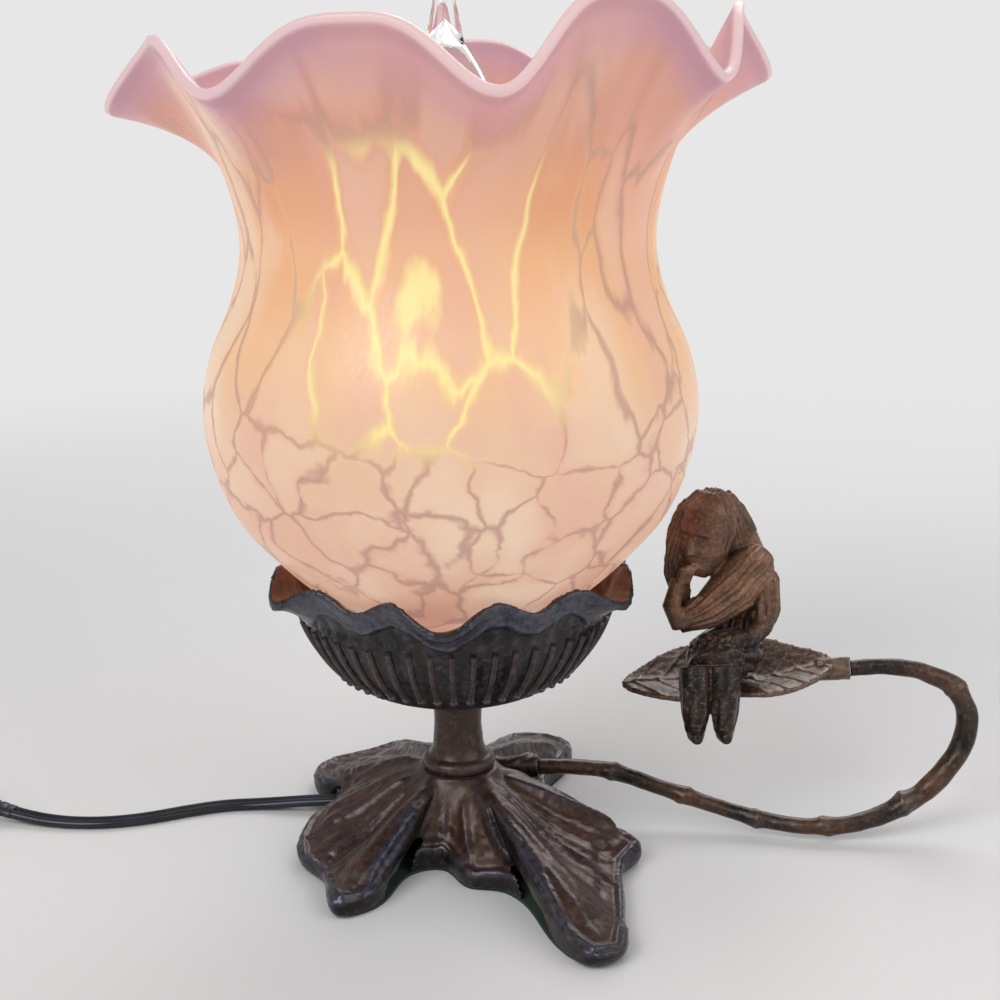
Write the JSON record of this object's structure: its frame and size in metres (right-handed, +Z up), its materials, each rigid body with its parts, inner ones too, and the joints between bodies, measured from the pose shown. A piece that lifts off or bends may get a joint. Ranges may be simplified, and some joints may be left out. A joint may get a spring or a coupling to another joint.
{
  "type": "tulip shade table lamp",
  "caption": "Small table lamp: a ruffled tulip glass shade in a fluted petal cup on a cast leaf base, with a twig that curls round to a leaf seat bearing a small seated figure.",
  "frame": {"origin": "on the stem's axis where the felt pad under the leaf base meets the table", "axes": "+Z up along the stem; -Y to the front, where the base's long lobe points; +X to the figure's side"},
  "size_m": [0.4242, 0.213, 0.2479],
  "materials": {
    "bronze": "dark antique bronze patina, satin",
    "felt": "matt felt",
    "steel": "zinc plated",
    "gasket": "matt silicone",
    "art_glass": "satin crackle art glass",
    "holder": "satin",
    "brass": "bright",
    "clear_glass": "clear",
    "filament": "glowing",
    "wire": "satin",
    "cord": "glossy vinyl",
    "switch": "moulded"
  },
  "bodies": {
    "root": {"leaf_base": "bronze", "felt_pad": "felt", "twig_arm": "bronze", "stem": "bronze", "stem_collar": "bronze", "lamp_pipe": "steel", "bottom_washer": "steel", "bottom_nut": "steel", "cup_nut": "steel", "shade_cup": "bronze", "shade_gasket": "gasket", "riser_tube": "bronze", "holder_cap": "bronze", "lamp_holder": "holder", "screw_shell": "brass", "center_contact": "brass", "terminal_screws": "steel", "inner_wires": "wire", "leaf_seat": "bronze", "figure": "bronze", "figure_screw": "steel", "cord_bushing": "cord", "power_cord": "cord", "cord_lead": "cord", "cord_coil": "cord", "cord_tail": "cord", "switch_base": "switch", "switch_cover": "switch", "switch_screws": "steel", "plug_body": "switch", "plug_blades": "brass"},
    "shade": {"tulip_shade": "art_glass"},
    "bulb": {"bulb_glass": "clear_glass", "bulb_cap": "brass", "bulb_contact": "brass", "bulb_mount": "clear_glass", "bulb_filament": "filament"},
    "wheel": {"switch_wheel": "switch"}
  },
  "joints": [
    {"name": "shade_lift", "type": "slide", "parent": "root", "child": "shade", "axis": [0, 0, 1], "range_m": [0, 0.19]},
    {"name": "bulb_lift", "type": "slide", "parent": "root", "child": "bulb", "axis": [0, 0, 1], "range_m": [0, 0.13]},
    {"name": "switch_turn", "type": "hinge", "parent": "root", "child": "wheel", "pos_m": [-0.185, 0.0196, 0.0055], "axis": [0, 0, 1], "continuous": true}
  ]
}
